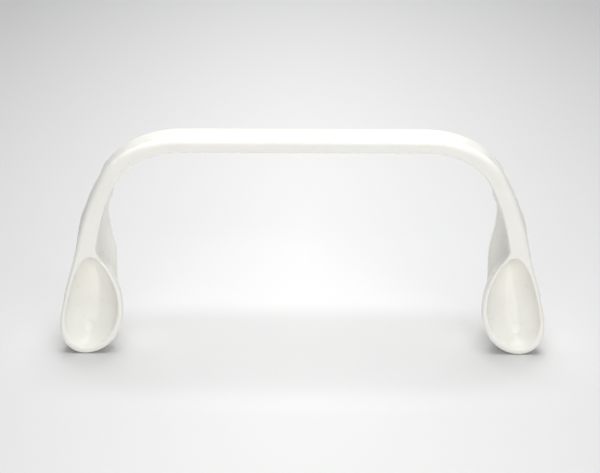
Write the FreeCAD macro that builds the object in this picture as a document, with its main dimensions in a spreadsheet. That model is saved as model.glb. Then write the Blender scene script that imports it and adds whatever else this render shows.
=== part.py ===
"""Cheek retractor: a spring bow whose two ends each carry a pair of lip flanges.

The real object is one moulding. It is divided here where it flexes and where one
function ends and the next begins. X runs across the mouth, Y runs from the outside
of the face into the mouth, Z is up. The origin is under the middle, on the floor.
The right-hand pieces are modelled and the left-hand ones are their mirror images.
"""
import FreeCAD, Part
import Sketcher
import math
import os

Vector = FreeCAD.Vector

SIZES = {
    # overall
    "overall_width": 129.6,
    "overall_height": 60.0,
    # spring bow
    "bar_thickness": 3.7,
    "strip_depth": 10.8,
    "bend_reach": 24.9,
    "bend_radius": 21.0,
    "bend_radius_inside": 17.0,
    "leg_radius_inside": 36.0,
    "edge_round": 1.0,
    "flex_spacing": 50.0,
    "flex_gap": 0.3,
    # root, where a leg becomes the two flanges
    "leg_drop": 30.0,
    "root_width": 6.0,
    "root_inset": 4.9,
    # outer flange, a hollow spoon
    "spoon_radius": 8.2,
    "spoon_flank_radius": 26.0,
    "spoon_wall": 1.4,
    "spoon_floor": 1.8,
    "spoon_middle_depth": 4.9,
    "spoon_middle_radius": 6.9,
    "spoon_middle_height": 0.9,
    "spoon_back_radius": 3.8,
    "spoon_back_height": 3.0,
    "spoon_top_radius": 2.4,
    "spoon_top_wall": 1.8,
    # lip channel between the flanges
    "channel_width": 7.0,
    "saddle_width": 3.0,
    "saddle_overhang": 1.0,
    "saddle_foot_height": 3.0,
    # inner flange, a flat paddle
    "paddle_wall": 2.2,
    "paddle_width": 11.0,
    "paddle_shoulder_drop": 8.0,
    "paddle_rise": 15.0,
    "paddle_top_width": 4.2,
    "paddle_slope_radius": 20.0,
    "paddle_root_radius": 9.0,
    "paddle_round": 0.7,
}

HALF = "sizes.overall_width / 2"
DEPTH = "(sizes.strip_depth + sizes.channel_width + sizes.paddle_wall)"
FRONT = "(-" + DEPTH + " / 2)"
STRIP_REAR = "(" + FRONT + " + sizes.strip_depth)"
CHANNEL_REAR = "(" + STRIP_REAR + " + sizes.channel_width)"
REAR = "(" + DEPTH + " / 2)"
FLEX_X = "sizes.flex_spacing / 2"
FLEX_Z = "(sizes.overall_height - sizes.bar_thickness / 2)"
BAR_UNDERSIDE = "(sizes.overall_height - sizes.bar_thickness)"
ROOT_OUTSIDE = "(" + HALF + " - sizes.root_inset)"
ROOT_INSIDE = "(" + ROOT_OUTSIDE + " - sizes.root_width)"
ROOT_HEIGHT = "(sizes.overall_height - sizes.leg_drop)"
BEND_X = "(" + ROOT_OUTSIDE + " - sizes.bend_reach)"
SHOULDER_HEIGHT = "(" + ROOT_HEIGHT + " - sizes.paddle_shoulder_drop)"
PADDLE_TOP = "(" + ROOT_HEIGHT + " + sizes.paddle_rise)"
SPOON_X = "(" + HALF + " - sizes.spoon_radius)"
SADDLE_INSIDE = "(" + ROOT_INSIDE + " - sizes.saddle_overhang)"

document = FreeCAD.newDocument("cheek_retractor")
sizes = document.addObject("Spreadsheet::Sheet", "sizes")


def fill_sheet():
    for row, (name, number) in enumerate(SIZES.items(), start=1):
        sizes.set("A%d" % row, name)
        sizes.set("B%d" % row, str(number))
        sizes.setAlias("B%d" % row, name)
    document.recompute()


def value(text):
    """The number that an expression over the sheet gives."""
    return float(sizes.evalExpression(text))


def new_body(label):
    body = document.addObject("PartDesign::Body", label)
    body.Label = label
    body.Placement = FreeCAD.Placement()
    return body


def new_sketch(body, name, role, distance):
    """An empty sketch parallel to one of the body's own planes, moved along its normal."""
    plane = [item for item in body.Origin.OriginFeatures if item.Role == role][0]
    sketch = body.newObject("Sketcher::SketchObject", name)
    sketch.AttachmentSupport = [(plane, "")]
    sketch.MapMode = "FlatFace"
    sketch.setExpression("AttachmentOffset.Base.z", distance)
    return sketch


def upright_sketch(body, name, depth):
    """A sketch seen from the front, at the given Y. The plane's normal is -Y."""
    return new_sketch(body, name, "XZ_Plane", "-(" + depth + ")")


def line(sketch, start, end):
    segment = Part.LineSegment(Vector(start[0], start[1], 0), Vector(end[0], end[1], 0))
    return sketch.addGeometry(segment, False)


def arc(sketch, centre, radius, first_angle, last_angle):
    circle = Part.Circle(Vector(centre[0], centre[1], 0), Vector(0, 0, 1), radius)
    turn = Part.ArcOfCircle(circle, math.radians(first_angle), math.radians(last_angle))
    return sketch.addGeometry(turn, False)


def bind(sketch, name, kind, places, text):
    """Add a constraint with a size, and tie that size to the sheet."""
    index = sketch.addConstraint(Sketcher.Constraint(kind, *places, value(text)))
    sketch.renameConstraint(index, name)
    sketch.setExpression("Constraints." + name, text)


START, END, CENTRE = 1, 2, 3
ORIGIN = (-1, 1)

# Rough angles, in degrees, at which the arcs are first drawn; the constraints then set them.
LEG_LEAN = 17
BEND_SPLIT = 30
LATERAL_TURN = 15
MEDIAL_TURN = 190
MEDIAL_RISE = 145


def bind_point(sketch, name, edge, point, across, up):
    bind(sketch, name + "_across", "DistanceX", (*ORIGIN, edge, point), across)
    bind(sketch, name + "_up", "DistanceY", (*ORIGIN, edge, point), up)


def meet(sketch, first, first_end, second, second_end):
    sketch.addConstraint(Sketcher.Constraint("Coincident", first, first_end, second, second_end))


def blend(sketch, first, first_end, second, second_end):
    """Join two edges end to end with a shared tangent."""
    sketch.addConstraint(Sketcher.Constraint("Tangent", first, first_end, second, second_end))


def level(sketch, edge):
    sketch.addConstraint(Sketcher.Constraint("Horizontal", edge))


def upright(sketch, edge):
    sketch.addConstraint(Sketcher.Constraint("Vertical", edge))


def pad(body, sketch, length):
    """Thicken a front-view sketch towards the front."""
    feature = body.newObject("PartDesign::Pad", sketch.Name + "_pad")
    feature.Profile = sketch
    feature.setExpression("Length", length)
    document.recompute()
    return feature


def round_edges(body, feature, keep, radius):
    """Round the edges of a feature for which keep(edge) is true."""
    names = ["Edge%d" % number for number, edge in enumerate(feature.Shape.Edges, start=1)
             if keep(edge)]
    fillet = body.newObject("PartDesign::Fillet", feature.Name + "_round")
    fillet.Base = (feature, names)
    fillet.setExpression("Radius", radius)
    document.recompute()
    return fillet


def lies_at_depth(edge, depth):
    return all(abs(vertex.Y - depth) < 0.001 for vertex in edge.Vertexes)


def make_bow_bar():
    """The straight middle of the bow, with a square end facing each arm's nose."""
    body = new_body("bow_bar")
    sketch = upright_sketch(body, "bow_bar_outline", STRIP_REAR)
    reach = "(" + FLEX_X + " - sizes.bar_thickness / 2 - sizes.flex_gap)"
    right, top, under = value(reach), value("sizes.overall_height"), value(BAR_UNDERSIDE)
    upper = line(sketch, (-right, top), (right, top))
    right_end = line(sketch, (right, top), (right, under))
    lower = line(sketch, (right, under), (-right, under))
    left_end = line(sketch, (-right, under), (-right, top))
    for first, second in ((upper, right_end), (right_end, lower), (lower, left_end), (left_end, upper)):
        meet(sketch, first, END, second, START)
    for edge in (upper, lower):
        level(sketch, edge)
    for edge in (right_end, left_end):
        upright(sketch, edge)
    bind_point(sketch, "corner", upper, END, reach, "sizes.overall_height")
    bind(sketch, "length", "DistanceX", (upper, START, upper, END), "2 * " + reach)
    bind(sketch, "thickness", "DistanceY", (right_end, END, right_end, START), "sizes.bar_thickness")
    block = pad(body, sketch, "sizes.strip_depth")
    round_edges(body, block, lambda edge: edge.Length > value(FLEX_X), "sizes.edge_round")
    return body


def make_arm():
    """The end of the bar with its round nose on the flex axis, the bend and the leg."""
    body = new_body("right_arm")
    sketch = upright_sketch(body, "arm_outline", STRIP_REAR)
    top, under, flex = value("sizes.overall_height"), value(BAR_UNDERSIDE), value(FLEX_X)
    bend_x = value(BEND_X)
    bend, inside, leg = (value("sizes." + name) for name in
                         ("bend_radius", "bend_radius_inside", "leg_radius_inside"))
    root = value(ROOT_HEIGHT)
    root_outside, root_inside = value(ROOT_OUTSIDE), value(ROOT_INSIDE)
    lean = math.radians(LEG_LEAN)
    bend_end = (bend_x + bend * math.cos(lean), top - bend + bend * math.sin(lean))
    crown = line(sketch, (flex, top), (bend_x, top))
    outer_bend = arc(sketch, (bend_x, top - bend), bend, LEG_LEAN, 90)
    outer_leg = line(sketch, bend_end, (root_outside, root))
    root_edge = line(sketch, (root_outside, root), (root_inside, root))
    inner_leg = arc(sketch, (root_inside - leg, root), leg, 0, BEND_SPLIT)
    inner_bend = arc(sketch, (bend_x, under - inside), inside, BEND_SPLIT, 90)
    underside = line(sketch, (bend_x, under), (flex, under))
    nose = arc(sketch, (flex, (top + under) / 2), (top - under) / 2, 90, 270)
    for edge in (crown, root_edge, underside):
        level(sketch, edge)
    blend(sketch, crown, END, outer_bend, END)
    blend(sketch, outer_bend, START, outer_leg, START)
    meet(sketch, outer_leg, END, root_edge, START)
    meet(sketch, root_edge, END, inner_leg, START)
    blend(sketch, inner_leg, END, inner_bend, START)
    blend(sketch, inner_bend, END, underside, START)
    blend(sketch, underside, END, nose, END)
    blend(sketch, nose, START, crown, START)
    bind_point(sketch, "flex_axis", nose, CENTRE, FLEX_X, FLEX_Z)
    bind(sketch, "nose_radius", "Radius", (nose,), "sizes.bar_thickness / 2")
    bind(sketch, "bend_start", "DistanceX", (*ORIGIN, outer_bend, CENTRE), BEND_X)
    bind(sketch, "bend", "Radius", (outer_bend,), "sizes.bend_radius")
    bind_point(sketch, "root_outside", outer_leg, END, ROOT_OUTSIDE, ROOT_HEIGHT)
    bind(sketch, "root_width", "DistanceX", (root_edge, END, root_edge, START), "sizes.root_width")
    bind(sketch, "leg", "Radius", (inner_leg,), "sizes.leg_radius_inside")
    bind(sketch, "leg_foot", "DistanceY", (*ORIGIN, inner_leg, CENTRE), ROOT_HEIGHT)
    bind(sketch, "bend_inside", "Radius", (inner_bend,), "sizes.bend_radius_inside")
    block = pad(body, sketch, "sizes.strip_depth")
    front, rear = value(FRONT), value(STRIP_REAR)

    def runs_along_strip(edge):
        at_root = all(abs(vertex.Z - root) < 0.001 for vertex in edge.Vertexes)
        return not at_root and (lies_at_depth(edge, front) or lies_at_depth(edge, rear))

    round_edges(body, block, runs_along_strip, "sizes.edge_round")
    return body


def spoon_outline(body, name, depth, bottom, radius):
    """A spoon section with a flat top that matches the root of the leg."""
    sketch = upright_sketch(body, name, depth)
    centre_x, centre_z, size = value(SPOON_X), value(bottom + " + " + radius), value(radius)
    root, root_outside, root_inside = (value(text) for text in
                                       (ROOT_HEIGHT, ROOT_OUTSIDE, ROOT_INSIDE))
    flank = value("sizes.spoon_flank_radius")
    bowl = arc(sketch, (centre_x, centre_z), size, MEDIAL_TURN, 360 + LATERAL_TURN)
    lateral = line(sketch, (centre_x + size, centre_z), (root_outside, root))
    top = line(sketch, (root_outside, root), (root_inside, root))
    medial = arc(sketch, (centre_x - size + flank, centre_z), flank, MEDIAL_RISE, MEDIAL_TURN)
    level(sketch, top)
    blend(sketch, bowl, END, lateral, START)
    meet(sketch, lateral, END, top, START)
    meet(sketch, top, END, medial, START)
    blend(sketch, medial, END, bowl, START)
    bind_point(sketch, "bowl", bowl, CENTRE, SPOON_X, bottom + " + " + radius)
    bind(sketch, "bowl_radius", "Radius", (bowl,), radius)
    bind_point(sketch, "root", lateral, END, ROOT_OUTSIDE, ROOT_HEIGHT)
    bind(sketch, "root_width", "DistanceX", (top, END, top, START), "sizes.root_width")
    bind(sketch, "flank", "Radius", (medial,), "sizes.spoon_flank_radius")
    return sketch


def hollow_outline(body, name, depth, bottom, radius):
    """A section of the spoon's hollow, with a round top below the root."""
    sketch = upright_sketch(body, name, depth)
    centre_x, centre_z, size = value(SPOON_X), value(bottom + " + " + radius), value(radius)
    top_x = "(" + ROOT_OUTSIDE + " - sizes.root_width / 2)"
    top_z = "(" + ROOT_HEIGHT + " - sizes.spoon_top_wall - sizes.spoon_top_radius)"
    top_radius = value("sizes.spoon_top_radius")
    flank = value("sizes.spoon_flank_radius")
    bowl = arc(sketch, (centre_x, centre_z), size, MEDIAL_TURN, 360 + LATERAL_TURN)
    lateral = line(sketch, (centre_x + size, centre_z), (value(top_x) + top_radius, value(top_z)))
    top = arc(sketch, (value(top_x), value(top_z)), top_radius, LATERAL_TURN, MEDIAL_RISE)
    medial = arc(sketch, (centre_x - size + flank, centre_z), flank, MEDIAL_RISE, MEDIAL_TURN)
    blend(sketch, bowl, END, lateral, START)
    blend(sketch, lateral, END, top, START)
    blend(sketch, top, END, medial, START)
    blend(sketch, medial, END, bowl, START)
    bind_point(sketch, "bowl", bowl, CENTRE, SPOON_X, bottom + " + " + radius)
    bind(sketch, "bowl_radius", "Radius", (bowl,), radius)
    bind_point(sketch, "top", top, CENTRE, top_x, top_z)
    bind(sketch, "top_radius", "Radius", (top,), "sizes.spoon_top_radius")
    bind(sketch, "flank", "Radius", (medial,), "sizes.spoon_flank_radius")
    return sketch


def loft(body, kind, name, sections):
    feature = body.newObject(kind, name)
    feature.Profile = sections[0]
    feature.Sections = sections[1:]
    document.recompute()
    return feature


def make_outer_flange():
    """The spoon: three sections from its rim to its back, then the hollow."""
    body = new_body("right_outer_flange")
    middle = "(" + FRONT + " + sizes.spoon_middle_depth)"
    floor = "(" + STRIP_REAR + " - sizes.spoon_floor)"
    sections = (
        ("rim", FRONT, FRONT, "0", "sizes.spoon_radius"),
        ("middle", middle, middle, "sizes.spoon_middle_height", "sizes.spoon_middle_radius"),
        ("back", STRIP_REAR, floor, "sizes.spoon_back_height", "sizes.spoon_back_radius"),
    )
    outside = []
    for name, depth, _, bottom, radius in sections:
        outside.append(spoon_outline(body, "spoon_" + name, depth, bottom, radius))
    loft(body, "PartDesign::AdditiveLoft", "spoon", outside)
    inside = []
    for name, _, depth, bottom, radius in sections:
        inner_bottom = "(" + bottom + " + sizes.spoon_wall)"
        inner_radius = "(" + radius + " - sizes.spoon_wall)"
        inside.append(hollow_outline(body, "hollow_" + name, depth, inner_bottom, inner_radius))
    loft(body, "PartDesign::SubtractiveLoft", "hollow", inside)
    return body


def make_inner_flange():
    """The paddle: a front-view outline, cut to its side view by two pockets."""
    body = new_body("right_inner_flange")
    sketch = upright_sketch(body, "paddle_outline", REAR)
    middle_x, half_width = value(SPOON_X), value("sizes.paddle_width") / 2
    shoulder, top = value(SHOULDER_HEIGHT), value(PADDLE_TOP)
    top_outside = "(" + BEND_X + " + sizes.bend_radius)"
    top_inside = "(" + top_outside + " - sizes.paddle_top_width)"
    foot = arc(sketch, (middle_x, half_width), half_width, 180, 360)
    lateral = line(sketch, (middle_x + half_width, half_width), (middle_x + half_width, shoulder))
    lateral_slope = line(sketch, (middle_x + half_width, shoulder), (value(top_outside), top))
    crown = line(sketch, (value(top_outside), top), (value(top_inside), top))
    medial_slope = line(sketch, (value(top_inside), top), (middle_x - half_width, shoulder))
    medial = line(sketch, (middle_x - half_width, shoulder), (middle_x - half_width, half_width))
    level(sketch, crown)
    upright(sketch, lateral)
    upright(sketch, medial)
    blend(sketch, foot, END, lateral, START)
    meet(sketch, lateral, END, lateral_slope, START)
    meet(sketch, lateral_slope, END, crown, START)
    meet(sketch, crown, END, medial_slope, START)
    meet(sketch, medial_slope, END, medial, START)
    blend(sketch, medial, END, foot, START)
    bind_point(sketch, "foot", foot, CENTRE, SPOON_X, "sizes.paddle_width / 2")
    bind(sketch, "foot_radius", "Radius", (foot,), "sizes.paddle_width / 2")
    bind(sketch, "shoulder", "DistanceY", (*ORIGIN, lateral, END), SHOULDER_HEIGHT)
    bind(sketch, "medial_shoulder", "DistanceY", (*ORIGIN, medial, START), SHOULDER_HEIGHT)
    bind_point(sketch, "top_outside", lateral_slope, END, top_outside, PADDLE_TOP)
    bind(sketch, "top_width", "DistanceX", (crown, END, crown, START), "sizes.paddle_top_width")
    pad(body, sketch, "(" + REAR + " - " + STRIP_REAR + ")")
    cut_lip_channel(body)
    blank = cut_back_slope(body)
    round_edges(body, blank, lambda edge: not lies_at_depth(edge, value(STRIP_REAR)), "sizes.paddle_round")
    return body


def cut_through(body, sketch):
    feature = body.newObject("PartDesign::Pocket", sketch.Name + "_cut")
    feature.Profile = sketch
    feature.Type = "ThroughAll"
    feature.Midplane = True
    document.recompute()
    return feature


def cut_lip_channel(body):
    """Side view of the space between the flanges, with a rounded roof."""
    sketch = new_sketch(body, "lip_channel", "YZ_Plane", "0")
    front, rear = value(STRIP_REAR), value(CHANNEL_REAR)
    radius, roof = value("sizes.paddle_root_radius"), value(ROOT_HEIGHT)
    start_angle = math.degrees(math.acos(1 - (rear - front) / radius))
    spring = roof - radius * math.sin(math.radians(start_angle))
    floor = line(sketch, (front, 0), (rear, 0))
    wall = line(sketch, (rear, 0), (rear, spring))
    arch = arc(sketch, (rear - radius, spring), radius, 0, start_angle)
    back = line(sketch, (front, roof), (front, 0))
    sketch.addConstraint(Sketcher.Constraint("PointOnObject", floor, START, -1))
    level(sketch, floor)
    upright(sketch, wall)
    upright(sketch, back)
    meet(sketch, floor, END, wall, START)
    blend(sketch, wall, END, arch, START)
    meet(sketch, arch, END, back, START)
    meet(sketch, back, END, floor, START)
    bind(sketch, "front", "DistanceX", (*ORIGIN, floor, START), STRIP_REAR)
    bind(sketch, "width", "DistanceX", (floor, START, floor, END), "sizes.channel_width")
    bind(sketch, "arch", "Radius", (arch,), "sizes.paddle_root_radius")
    bind(sketch, "roof", "DistanceY", (*ORIGIN, arch, END), ROOT_HEIGHT)
    return cut_through(body, sketch)


def cut_back_slope(body):
    """Side view of what is taken off so that the paddle grows out of the leg in a curve."""
    sketch = new_sketch(body, "back_slope", "YZ_Plane", "0")
    front, rear = value(STRIP_REAR), value(REAR)
    radius, top = value("sizes.paddle_slope_radius"), value(PADDLE_TOP)
    sweep = math.degrees(math.acos(1 - (rear - front) / radius))
    spring = top - radius * math.sin(math.radians(sweep))
    curve = arc(sketch, (rear - radius, spring), radius, 0, sweep)
    crown = line(sketch, (front, top), (rear, top))
    back = line(sketch, (rear, top), (rear, spring))
    level(sketch, crown)
    upright(sketch, back)
    meet(sketch, curve, END, crown, START)
    meet(sketch, crown, END, back, START)
    meet(sketch, back, END, curve, START)
    bind(sketch, "slope", "Radius", (curve,), "sizes.paddle_slope_radius")
    sketch.addConstraint(Sketcher.Constraint("Horizontal", curve, CENTRE, curve, START))
    bind_point(sketch, "top", curve, END, STRIP_REAR, PADDLE_TOP)
    bind(sketch, "rear", "DistanceX", (*ORIGIN, back, END), REAR)
    return cut_through(body, sketch)


def make_lip_saddle(paddle):
    """The web at the bottom of the lip channel. It ends against the paddle's own surface."""
    body = new_body("saddle_block")
    sketch = upright_sketch(body, "saddle_outline", CHANNEL_REAR)
    foot, root = value("sizes.saddle_foot_height"), value(ROOT_HEIGHT)
    inside, width = value(SADDLE_INSIDE), value("sizes.saddle_width")
    lower = line(sketch, (inside, foot), (inside + width, foot))
    lateral = line(sketch, (inside + width, foot), (inside + width, root))
    upper = line(sketch, (inside + width, root), (inside, root))
    medial = line(sketch, (inside, root), (inside, foot))
    for first, second in ((lower, lateral), (lateral, upper), (upper, medial), (medial, lower)):
        meet(sketch, first, END, second, START)
    for edge in (lower, upper):
        level(sketch, edge)
    for edge in (lateral, medial):
        upright(sketch, edge)
    bind_point(sketch, "foot", lower, START, SADDLE_INSIDE, "sizes.saddle_foot_height")
    bind(sketch, "width", "DistanceX", (lower, START, lower, END), "sizes.saddle_width")
    bind(sketch, "height", "DistanceY", (*ORIGIN, upper, START), ROOT_HEIGHT)
    pad(body, sketch, "sizes.channel_width")
    saddle = document.addObject("Part::Cut", "right_lip_saddle")
    saddle.Base = body
    saddle.Tool = paddle
    saddle.Label = "right_lip_saddle"
    document.recompute()
    return saddle


def mirror_to_left(piece):
    name = piece.Label.replace("right_", "left_")
    mirrored = document.addObject("Part::Mirroring", name)
    mirrored.Label = name
    mirrored.Source = piece
    mirrored.Normal = Vector(1, 0, 0)
    mirrored.Base = Vector(0, 0, 0)
    document.recompute()
    return mirrored


def check(pieces):
    document.recompute()
    for item in document.Objects:
        if "Invalid" in item.State or "Error" in item.State:
            raise RuntimeError(item.Name + " did not recompute: " + str(item.State))
    for piece in pieces:
        shape = piece.Shape
        if shape.isNull() or not shape.isValid() or len(shape.Solids) != 1:
            raise RuntimeError(piece.Label + " is not one valid solid")
        print("%-22s %8.1f mm3  %s" % (piece.Label, shape.Volume, shape.optimalBoundingBox(False)))


def export(pieces):
    os.makedirs("parts", exist_ok=True)
    for piece in pieces:
        piece.Shape.exportStep("parts/" + piece.Label + ".step")


fill_sheet()
bow_bar = make_bow_bar()
arm = make_arm()
outer_flange = make_outer_flange()
inner_flange = make_inner_flange()
lip_saddle = make_lip_saddle(inner_flange)
right_pieces = [arm, outer_flange, inner_flange, lip_saddle]
pieces = [bow_bar] + right_pieces + [mirror_to_left(piece) for piece in right_pieces]
check(pieces)
export(pieces)
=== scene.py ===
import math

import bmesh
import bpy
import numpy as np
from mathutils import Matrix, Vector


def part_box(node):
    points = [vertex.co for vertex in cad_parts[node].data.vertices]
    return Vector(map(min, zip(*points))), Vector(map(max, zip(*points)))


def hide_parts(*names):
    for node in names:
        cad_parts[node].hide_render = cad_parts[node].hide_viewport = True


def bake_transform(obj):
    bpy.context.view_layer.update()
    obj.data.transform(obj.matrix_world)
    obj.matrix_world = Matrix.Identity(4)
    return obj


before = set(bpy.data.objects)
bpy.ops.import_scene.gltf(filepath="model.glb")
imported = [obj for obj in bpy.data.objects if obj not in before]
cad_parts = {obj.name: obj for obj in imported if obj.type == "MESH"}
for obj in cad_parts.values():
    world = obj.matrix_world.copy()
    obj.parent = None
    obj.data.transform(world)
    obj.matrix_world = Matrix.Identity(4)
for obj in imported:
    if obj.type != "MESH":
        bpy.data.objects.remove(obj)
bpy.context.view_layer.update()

# The cheek retractor is one smooth moulding of ivory plastic. Its shape is a solid field, negative
# inside, put together from the strip of the bow, the bowl of the spoon, the web and the paddle, with
# fillets between them. The field's surface is meshed for the right half and mirrored for the left.
# Shapes are in millimetres; X is across, Y is depth with the front at the low end, Z is up.

import openvdb
from mathutils import Matrix, Vector

MM = 0.001

# The meshing grid's cell, and the clear space kept round the shape.
CELL = 0.26
MARGIN = 1.5


def node_box(name):
    """Lowest and highest corner of a CAD node, in millimetres."""
    low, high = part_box(name)
    return np.array(low) / MM, np.array(high) / MM


bar_low, bar_high = node_box("bow_bar")
_, spoon_high = node_box("right_outer_flange")
_, paddle_high = node_box("right_inner_flange")
saddle_low, saddle_high = node_box("right_lip_saddle")

TOP = bar_high[2]
FRONT = bar_low[1]
STRIP_REAR = bar_high[1]
REAR = paddle_high[1]
SIDE = spoon_high[0]
BAR_THICKNESS = bar_high[2] - bar_low[2]
PADDLE_WALL = REAR - saddle_high[1]

# The strip: a straight bar, a bend that eases in and tightens, and a leg that curves gently into
# the bowl. Its thickness swells round the bend and down the leg. Its outer front edge is crowned.
BEND_X = SIDE - 32.9
EASING_RADIUS = 29.2
EASING_END = math.radians(62.8)
BEND_RADIUS = 18.0
BEND_END = math.radians(28.6)
LEG_RADIUS = 68.0
LEG_LENGTH = 22.0
LEG_TAIL = 11.0
BEND_SWELL = 0.52
LEG_SWELL = 0.95
EDGE_ROUND = 0.5
CROWN_ROUND = 1.5
CROWN_ACROSS = (-1.3, -0.3)
CROWN_FORWARD = (-1, 3)
RIM_EDGE_ROUND = 0.9
NECK_HEIGHTS = (24, 32)

# The bowl: egg-shaped sections from the rim at the front to the back, which is narrower by
# BACK_NARROWS and BACK_SHORTENS and sits higher by BACK_RISES.
BOWL_X = SIDE - 9.3
BOWL_LEAN = 0.031
BOWL_LEAN_HEIGHT = 19.3
BOWL_LEAN_POWER = 1.5
BOWL_HALF_HEIGHT = 13.7
BOWL_HALF_WIDTH = 7.95
BOWL_TAPER = -0.29
BACK_RISES = 1.2
BACK_NARROWS = 3.6
BACK_SHORTENS = 2.4
BACK_POWER = 2.2
BACK_LIMIT = 1.2
RIM_DEPTH = 1.6
NECK_FILLET = 3.0
RIM_FILLET = 0.6

# The hollow in the bowl: egg sections that close in from the rim on a narrow floor, which comes
# forward towards the foot. The upper part of the hollow leans outwards.
HOLLOW_DEPTH = 9.2
HOLLOW_TILT = 0.24
HOLLOW_TILT_HEIGHT = 25
HOLLOW_SHIFT = 0.15
HOLLOW_LEAN = 0.04
HOLLOW_LEAN_HEIGHT = 17
HOLLOW_MIDDLE = 14.5
FLOOR_HALF_WIDTH = 1.4
FLOOR_HALF_HEIGHT = 9.8
FLOOR_TAPER = -0.62
FLOOR_CREASE = 0.2
HOLLOW_WIDENS = 5.3
HOLLOW_HEIGHTENS = 3.0
HOLLOW_SQUARES = 0.34
HOLLOW_RISES = 0.1
HOLLOW_WIDE_POWER = 2
HOLLOW_TALL_POWER = 2.6
HOLLOW_LIMIT = 1.3

# A shallow oval mark, left by the mould's ejector pin, low in the hollow.
MARK_X = SIDE - 7.3
MARK_Z = 6.0
MARK_HALF_WIDTH = 1.3
MARK_HALF_HEIGHT = 1.7
MARK_DEPTH = 0.2
MARK_OUTLINE = (0.9, 1.1)
MARK_REACH = (-2.4, -1.6)

# The paddle behind the lip channel: (x, z, half width) down its middle, and (y, z) down its side view.
PADDLE_MIDDLE = (
    (SIDE - 12.2, 43.5, 1.1),
    (SIDE - 11.3, 41.0, 1.8),
    (SIDE - 9.9, 37.0, 2.3),
    (SIDE - 9.4, 35.0, 2.7),
    (SIDE - 8.8, 31.0, 3.5),
    (SIDE - 8.5, 27.2, 4.4),
    (SIDE - 8.35, 23.5, 5.2),
    (SIDE - 8.2, 18.0, 5.4),
    (SIDE - 8.2, 5.7, 5.45),
)
PADDLE_SIDE = (
    (STRIP_REAR - 2.0, 44.4),
    (STRIP_REAR + 1.2, 41.0),
    (REAR - 5.0, 36.0),
    (REAR - 2.5, 30.0),
    (REAR - 1.4, 24.0),
    (REAR - 1.3, 14.0),
    (REAR - 1.3, 0.0),
)
PADDLE_ROUND = 1.0
PADDLE_DISH = 0.018
PADDLE_DISH_X = SIDE - 8.2

# The web runs down beside the paddle's inner edge, fades out towards its top and slants outwards
# towards the front.
WEB_TOP = 43
WEB_FULL = 35
WEB_TIP_HALF_WIDTH = 0.1
WEB_INSET = 2.2
WEB_SLANT = 0.42
WEB_HALF_WIDTH = 1.3
WEB_FRONT = STRIP_REAR - 2
WEB_ROUND = 0.5
WEB_FILLET = 3.0
ROOT_FILLET = 3.0


def ease(value, start, end):
    """Rises smoothly from 0 at start to 1 at end."""
    share = np.clip((value - start) / (end - start), 0, 1)
    return share * share * (3 - 2 * share)


def join(first, second, fillet):
    """The union of two solids, with a fillet where they meet."""
    near = np.maximum(fillet - np.abs(first - second), 0) / fillet
    return np.minimum(first, second) - near * near * fillet / 4


def cut(solid, tool, fillet):
    """The solid with the tool taken away, its new edge softened."""
    return -join(-solid, tool, fillet)


def overlap(first, second, radius):
    """Where both solids are, with their shared edge rounded."""
    rounded = np.hypot(np.maximum(first + radius, 0), np.maximum(second + radius, 0))
    return np.minimum(np.maximum(first, second) + radius, 0) + rounded - radius


def slab(value, low, high):
    """The layer between two parallel planes."""
    return np.abs(value - (low + high) / 2) - (high - low) / 2


def smooth_points(knots, steps=8):
    """Points on a smooth curve through the knots."""
    knots = np.array(knots, float)
    padded = np.vstack([2 * knots[0] - knots[1], knots, 2 * knots[-1] - knots[-2]])
    points = []
    for before, here, there, after in zip(padded, padded[1:], padded[2:], padded[3:]):
        for share in np.arange(steps) / steps:
            turn = (there - before) * share
            bend = (2 * before - 5 * here + 4 * there - after) * share ** 2
            twist = (3 * here - before - 3 * there + after) * share ** 3
            points.append(here + (turn + bend + twist) / 2)
    points.append(knots[-1])
    return np.array(points)


def stroke(across, up, line, half_widths):
    """The distance to a line's edge, of varying half width, and the offset to the line's left."""
    nearest = np.full(np.broadcast(across, up).shape, 1000.0)
    offset = np.zeros_like(nearest)
    for start, end, first, last in zip(line, line[1:], half_widths, half_widths[1:]):
        step = end - start
        length = np.hypot(*step)
        from_x, from_z = across - start[0], up - start[1]
        share = np.clip((from_x * step[0] + from_z * step[1]) / length ** 2, 0, 1)
        gap = np.hypot(from_x - share * step[0], from_z - share * step[1]) - first - (last - first) * share
        closer = gap < nearest
        nearest = np.where(closer, gap, nearest)
        offset = np.where(closer, (step[0] * from_z - step[1] * from_x) / length, offset)
    return nearest, offset


def direction(angle):
    """The unit vector at an angle from the X axis, anticlockwise."""
    return np.array((math.cos(angle), math.sin(angle)))


def strip_line():
    """Points down the middle of the strip's thickness, with the half thickness at each."""
    surface, normals = [], []

    def add_arc(centre, radius, first, last, count):
        for angle in np.linspace(first, last, count):
            surface.append(centre + radius * direction(angle))
            normals.append(direction(angle))

    for x in np.linspace(-6, BEND_X, 6)[:-1]:
        surface.append(np.array((x, TOP)))
        normals.append(direction(math.pi / 2))
    centre = np.array((BEND_X, TOP - EASING_RADIUS))
    add_arc(centre, EASING_RADIUS, math.pi / 2, EASING_END, 16)
    centre = centre + (EASING_RADIUS - BEND_RADIUS) * direction(EASING_END)
    add_arc(centre, BEND_RADIUS, EASING_END, BEND_END, 16)
    centre = centre + (BEND_RADIUS - LEG_RADIUS) * direction(BEND_END)
    leg_end = BEND_END - LEG_LENGTH / LEG_RADIUS
    add_arc(centre, LEG_RADIUS, BEND_END, leg_end, 16)
    tail = np.array((normals[-1][1], -normals[-1][0]))
    surface.append(surface[-1] + LEG_TAIL * tail)
    normals.append(normals[-1])
    angles = np.array([math.atan2(normal[1], normal[0]) for normal in normals])
    thickness = (BAR_THICKNESS + BEND_SWELL * ease(-angles, -math.pi / 2, -BEND_END)
                 + LEG_SWELL * ease(-angles, -BEND_END, -leg_end))
    half = thickness / 2
    return np.array(surface) - np.array(normals) * half[:, None], half


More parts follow.
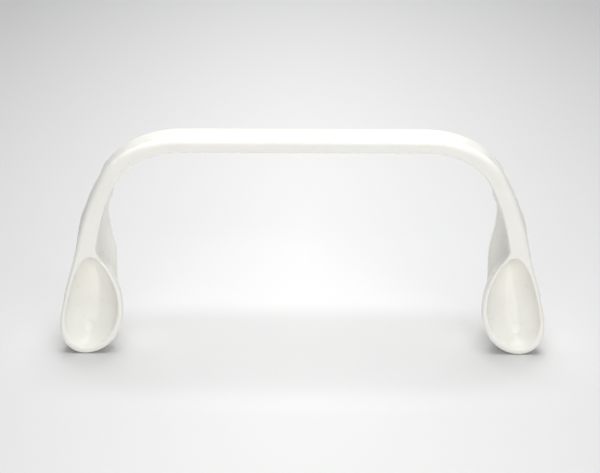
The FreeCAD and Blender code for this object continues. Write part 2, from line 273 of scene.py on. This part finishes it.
STRIP_LINE, STRIP_HALF = strip_line()
PADDLE_FRONT = smooth_points(PADDLE_MIDDLE)
PADDLE_PROFILE = smooth_points(PADDLE_SIDE)


def egg(x, z, centre_x, middle_z, half_width, half_height, taper):
    """An egg-shaped section: below 0 inside, 0 on its outline. A negative taper narrows the top."""
    up = (z - middle_z) / half_height
    across = (x - centre_x) / (half_width * np.maximum(1 + taper * up, 0.1))
    return np.hypot(up, across) - 1


def bowl_middle(z):
    """The bowl leans outwards towards its foot."""
    return BOWL_X + BOWL_LEAN * np.maximum(BOWL_LEAN_HEIGHT - z, 0) ** BOWL_LEAN_POWER


def bowl_outside(x, y, z):
    """Egg sections that shrink towards the back of the bowl."""
    share = (y - FRONT - RIM_DEPTH) / (STRIP_REAR - FRONT - RIM_DEPTH)
    back = np.clip(share, 0, BACK_LIMIT) ** BACK_POWER
    return egg(x, z, bowl_middle(z), BOWL_HALF_HEIGHT + BACK_RISES * back,
               BOWL_HALF_WIDTH - BACK_NARROWS * back,
               BOWL_HALF_HEIGHT - BACK_SHORTENS * back, BOWL_TAPER)


def hollow_floor(z):
    """Depth of the hollow's floor, which comes forward towards its foot."""
    return HOLLOW_DEPTH - HOLLOW_TILT * np.maximum(HOLLOW_TILT_HEIGHT - z, 0)


def hollow_sections(x, y, z):
    """Egg sections of the hollow, down to its floor."""
    deep = np.clip((y - FRONT) / hollow_floor(z), 0, HOLLOW_LIMIT)
    wide = 1 - deep ** HOLLOW_WIDE_POWER
    tall = 1 - deep ** HOLLOW_TALL_POWER
    centre = bowl_middle(z) + HOLLOW_SHIFT + HOLLOW_LEAN * np.maximum(z - HOLLOW_LEAN_HEIGHT, 0)
    return egg(x, z, centre, HOLLOW_MIDDLE + HOLLOW_RISES * tall,
               FLOOR_HALF_WIDTH + HOLLOW_WIDENS * wide,
               FLOOR_HALF_HEIGHT + HOLLOW_HEIGHTENS * tall, FLOOR_TAPER + HOLLOW_SQUARES * wide)


def distance(shape, x, y, z, step=0.04):
    """A shape's level, scaled to be close to a distance near its surface."""
    level = shape(x, y, z)
    slopes = (
        (shape(x + step, y, z) - level) / step,
        (shape(x, y + step, z) - level) / step,
        (shape(x, y, z + step) - level) / step,
    )
    steepness = np.sqrt(sum(slope * slope for slope in slopes))
    return level / np.maximum(steepness, 0.02)


def front_part(x, y, z):
    """The strip and the bowl, with the hollow cut into the bowl."""
    strip, outward = stroke(x, z, STRIP_LINE, STRIP_HALF)
    outline = join(strip, distance(bowl_outside, x, y, z), NECK_FILLET)
    above_neck = ease(z, *NECK_HEIGHTS)
    crown = ease(outward, *CROWN_ACROSS) * ease(-y, *CROWN_FORWARD) * above_neck
    edge = RIM_EDGE_ROUND + (EDGE_ROUND - RIM_EDGE_ROUND) * above_neck
    solid = overlap(outline, slab(y, FRONT, STRIP_REAR), edge + (CROWN_ROUND - edge) * crown)
    hollow = overlap(distance(hollow_sections, x, y, z), y - FRONT - hollow_floor(z), FLOOR_CREASE)
    oval = np.hypot((x - MARK_X) / MARK_HALF_WIDTH, (z - MARK_Z) / MARK_HALF_HEIGHT)
    mark = MARK_DEPTH * (1 - ease(oval, *MARK_OUTLINE)) * (1 - ease(y, *MARK_REACH))
    return cut(solid, hollow, RIM_FILLET) + mark


def rear_part(x, y, z):
    """The paddle and the web that closes the lip channel towards the mouth."""
    slope = np.gradient(PADDLE_PROFILE[:, 0], PADDLE_PROFILE[:, 1])
    heights = PADDLE_PROFILE[::-1, 1]
    middle = np.interp(z, heights, PADDLE_PROFILE[::-1, 0])
    lean = np.interp(z, heights, slope[::-1])
    dish = PADDLE_DISH * (x - PADDLE_DISH_X) ** 2
    plate = np.abs(y + dish - middle) / np.hypot(1, lean) - PADDLE_WALL / 2
    front_view, _ = stroke(x, z, PADDLE_FRONT[:, :2], PADDLE_FRONT[:, 2])
    paddle = overlap(plate, front_view, PADDLE_ROUND)
    web_x = np.minimum(PADDLE_FRONT[:, 0] - PADDLE_FRONT[:, 2] + WEB_INSET, PADDLE_FRONT[:, 0])
    web_z = np.maximum(PADDLE_FRONT[:, 1], saddle_low[2] + WEB_HALF_WIDTH)
    web_half = (WEB_TIP_HALF_WIDTH
                + (WEB_HALF_WIDTH - WEB_TIP_HALF_WIDTH) * ease(-web_z, -WEB_TOP, -WEB_FULL))
    slanted = x - WEB_SLANT * np.maximum(middle - PADDLE_WALL / 2 - y, 0)
    web_view, _ = stroke(slanted, z, np.column_stack([web_x, web_z]), web_half)
    web = overlap(web_view, slab(y, WEB_FRONT, middle), WEB_ROUND)
    return join(paddle, web, WEB_FILLET)


def moulding(x, y, z):
    """The whole right half of the moulding."""
    return join(front_part(x, y, z), rear_part(x, y, z), ROOT_FILLET)


def surface_mesh():
    """Vertices and quads of the moulding's surface, with every vertex moved exactly onto it."""
    low = np.array((-2.0, FRONT - MARGIN, -MARGIN))
    high = np.array((SIDE + MARGIN, REAR + MARGIN, TOP + MARGIN))
    counts = np.ceil((high - low) / CELL).astype(int) + 1
    axes = [low[k] + CELL * np.arange(counts[k]) for k in range(3)]
    x, y, z = np.meshgrid(*axes, indexing="ij", sparse=True)
    far = 3 * CELL
    field = np.clip(moulding(x, y, z), -far, far).astype(np.float32)
    grid = openvdb.FloatGrid(far)
    grid.copyFromArray(field)
    points, quads = grid.convertToQuads(0.0)
    points = low + points.astype(float) * CELL
    for _ in range(3):
        level, slope = level_and_slope(points)
        points -= slope * (level / np.maximum((slope ** 2).sum(1), 0.05))[:, None]
    return points, quads


def level_and_slope(points, step=0.01):
    """The field's level at each point, and its slope along each axis."""
    x, y, z = points.T
    level = moulding(x, y, z)
    slope = np.stack([
        moulding(x + step, y, z) - level,
        moulding(x, y + step, z) - level,
        moulding(x, y, z + step) - level,
    ], axis=1) / step
    return level, slope


def right_half():
    """The right half as a closed mesh, cut square at the middle of the bow."""
    points, quads = surface_mesh()
    mesh = bpy.data.meshes.new("right_moulding")
    mesh.from_pydata((points * MM).tolist(), [], quads.astype(int).tolist())
    body = bmesh.new()
    body.from_mesh(mesh)
    everything = body.verts[:] + body.edges[:] + body.faces[:]
    bmesh.ops.bisect_plane(body, geom=everything, plane_co=(0, 0, 0), plane_no=(-1, 0, 0), clear_outer=True)
    rim = [edge for edge in body.edges if edge.is_boundary]
    bmesh.ops.holes_fill(body, edges=rim, sides=0)
    for edge in rim:
        edge.smooth = False
    bmesh.ops.recalc_face_normals(body, faces=body.faces[:])
    for face in body.faces:
        face.smooth = True
    body.to_mesh(mesh)
    body.free()
    return mesh


def left_half(right):
    """The mirror image of the right half."""
    mesh = right.copy()
    mesh.name = "left_moulding"
    body = bmesh.new()
    body.from_mesh(mesh)
    for vertex in body.verts:
        vertex.co.x = -vertex.co.x
    bmesh.ops.reverse_faces(body, faces=body.faces[:])
    body.to_mesh(mesh)
    body.free()
    return mesh


def add_node(material, kind, links=(), settings=(), **sockets):
    """A shader node with its settings, its plain socket values and its incoming links."""
    tree = material.node_tree
    node = tree.nodes.new(kind)
    for name, value in dict(settings).items():
        setattr(node, name, value)
    for name, value in sockets.items():
        node.inputs[name.replace("_", " ")].default_value = value
    for source, target in links:
        tree.links.new(source, node.inputs[target])
    return node


def add_ramp(material, source, stops):
    """A colour ramp: (position, colour) stops along the source value."""
    ramp = add_node(material, "ShaderNodeValToRGB", [(source, "Fac")])
    elements = ramp.color_ramp.elements
    for element, (position, colour) in zip(elements, stops):
        element.position = position
        element.color = (*colour, 1)
    return ramp.outputs["Color"]


def add_bump(material, height, depth, strength, under=None):
    """A bump of a height field, in metres deep, on top of the bump under it."""
    links = [(height, "Height")] + ([(under, "Normal")] if under else [])
    return add_node(material, "ShaderNodeBump", links, Strength=strength, Distance=depth).outputs["Normal"]


def ivory_plastic():
    """Ivory moulded plastic: cloudy colour, satin skin, flow lines and light handling marks."""
    material = bpy.data.materials.new("ivory_plastic")
    material.use_nodes = True
    tree = material.node_tree
    place = add_node(material, "ShaderNodeTexCoord").outputs["Object"]

    clouds = add_node(material, "ShaderNodeTexNoise", [(place, "Vector")],
                      Scale=140.0, Detail=4.0, Roughness=0.55)
    colour = add_ramp(material, clouds.outputs["Fac"],
                      [(0.3, (0.93, 0.92, 0.86)), (0.7, (0.96, 0.953, 0.905))])

    skin = add_node(material, "ShaderNodeTexNoise", [(place, "Vector")], Scale=2600.0, Detail=3.0)
    patches = add_node(material, "ShaderNodeTexNoise", [(place, "Vector")],
                       Scale=420.0, Detail=5.0, Roughness=0.6)
    satin = add_ramp(material, patches.outputs["Fac"],
                     [(0.3, (0.26, 0.26, 0.26)), (0.7, (0.42, 0.42, 0.42))])

    flow = add_node(material, "ShaderNodeTexWave", [(place, "Vector")],
                    {"wave_type": "RINGS", "rings_direction": "Y"},
                    Scale=95.0, Distortion=2.2, Detail=2.0, Detail_Scale=1.5)
    stretched = add_node(material, "ShaderNodeMapping", [(place, "Vector")],
                         Rotation=(0.2, 0.3, 0.7), Scale=(1.0, 0.06, 1.0))
    scratches = add_node(material, "ShaderNodeTexNoise", [(stretched.outputs["Vector"], "Vector")],
                         Scale=5200.0, Detail=1.0)
    fine = add_ramp(material, scratches.outputs["Fac"], [(0.5, (0, 0, 0)), (0.8, (1, 1, 1))])

    normal = add_bump(material, skin.outputs["Fac"], 0.000006, 0.4)
    normal = add_bump(material, flow.outputs["Fac"], 0.00001, 0.3, normal)
    normal = add_bump(material, fine, 0.000002, 0.2, normal)

    shader = tree.nodes["Principled BSDF"]
    shader.inputs["IOR"].default_value = 1.5
    tree.links.new(colour, shader.inputs["Base Color"])
    tree.links.new(satin, shader.inputs["Roughness"])
    tree.links.new(normal, shader.inputs["Normal"])
    return material


def add_piece(mesh, side, material):
    """One half of the moulding, put in place of the bow's bar and its own side's CAD parts, which are
    hidden.
    """
    piece = bpy.data.objects.new(mesh.name, mesh)
    bpy.context.scene.collection.objects.link(piece)
    mesh.materials.append(material)
    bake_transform(piece)
    parts = ("arm", "outer_flange", "inner_flange", "lip_saddle")
    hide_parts("bow_bar", *(side + "_" + part for part in parts))
    return piece


def add_stage():
    """A pale paper floor, with a soft pool of light painted into its colour just behind the part."""
    bpy.ops.mesh.primitive_plane_add(size=6, location=(0, 0, 0))
    floor = bpy.context.object
    floor.name = "floor"
    material = bpy.data.materials.new("floor")
    material.use_nodes = True
    tree = material.node_tree
    place = add_node(material, "ShaderNodeTexCoord").outputs["Object"]
    # Painted light: the floor's colour is brighter in a soft oval just behind the part and darker towards
    # the edges, not lit by the lamps.
    painted_pool_mapping = add_node(material, "ShaderNodeMapping", [(place, "Vector")], {"vector_type": "TEXTURE"},
                    Location=(0, 0.07, 0), Scale=(0.15, 0.9, 1.0))
    painted_light_pool = add_node(material, "ShaderNodeTexGradient", [(painted_pool_mapping.outputs["Vector"], "Vector")],
                    {"gradient_type": "SPHERICAL"})
    colour = add_ramp(material, painted_light_pool.outputs["Fac"], [(0.0, (0.54, 0.54, 0.545)), (1.0, (0.8, 0.8, 0.8))])
    shader = tree.nodes["Principled BSDF"]
    shader.inputs["Roughness"].default_value = 0.85
    tree.links.new(colour, shader.inputs["Base Color"])
    floor.data.materials.append(material)


def add_light(name, place, target, size, power):
    """A rectangular softbox at a place, turned to face its target."""
    data = bpy.data.lights.new(name, "AREA")
    data.shape = "RECTANGLE"
    data.size, data.size_y = size
    data.energy = power
    light = bpy.data.objects.new(name, data)
    light.location = place
    light.rotation_euler = (Vector(target) - Vector(place)).to_track_quat("-Z", "Y").to_euler()
    bpy.context.scene.collection.objects.link(light)


def add_camera():
    """A long lens in front of the part and above it, looking down, with a slight roll."""
    look_down, roll_over = 19.4, 0.2
    data = bpy.data.cameras.new("camera")
    data.sensor_width = 36
    data.lens = 114.3
    camera = bpy.data.objects.new("camera", data)
    camera.location = (-0.0007, -0.482, 0.1998)
    pitch = Matrix.Rotation(math.radians(90 - look_down), 3, "X")
    roll = Matrix.Rotation(math.radians(roll_over), 3, "Z")
    camera.rotation_euler = (pitch @ roll).to_euler()
    bpy.context.scene.collection.objects.link(camera)
    bpy.context.scene.camera = camera


def add_world():
    """A faint even fill light from all round, and a picture with its colours as they are."""
    world = bpy.data.worlds.new("studio")
    world.use_nodes = True
    background = world.node_tree.nodes["Background"]
    background.inputs["Color"].default_value = (1, 1, 1, 1)
    background.inputs["Strength"].default_value = 0.1
    bpy.context.scene.world = world
    bpy.context.scene.view_settings.view_transform = "Standard"


right_mesh = right_half()
left_mesh = left_half(right_mesh)
plastic = ivory_plastic()
add_piece(right_mesh, "right", plastic)
add_piece(left_mesh, "left", plastic)
add_stage()
add_light("front_softbox", (0.12, -0.9, 0.36), (0, 0, 0.02), (0.9, 0.45), 4.1)
add_light("overhead_softbox", (0.03, 0.03, 0.75), (0, 0.03, 0), (0.7, 0.45), 5.8)
add_light("rear_softbox", (0, 0.6, 0.6), (0, 0.3, 0), (0.9, 0.4), 1.6)
add_camera()
add_world()
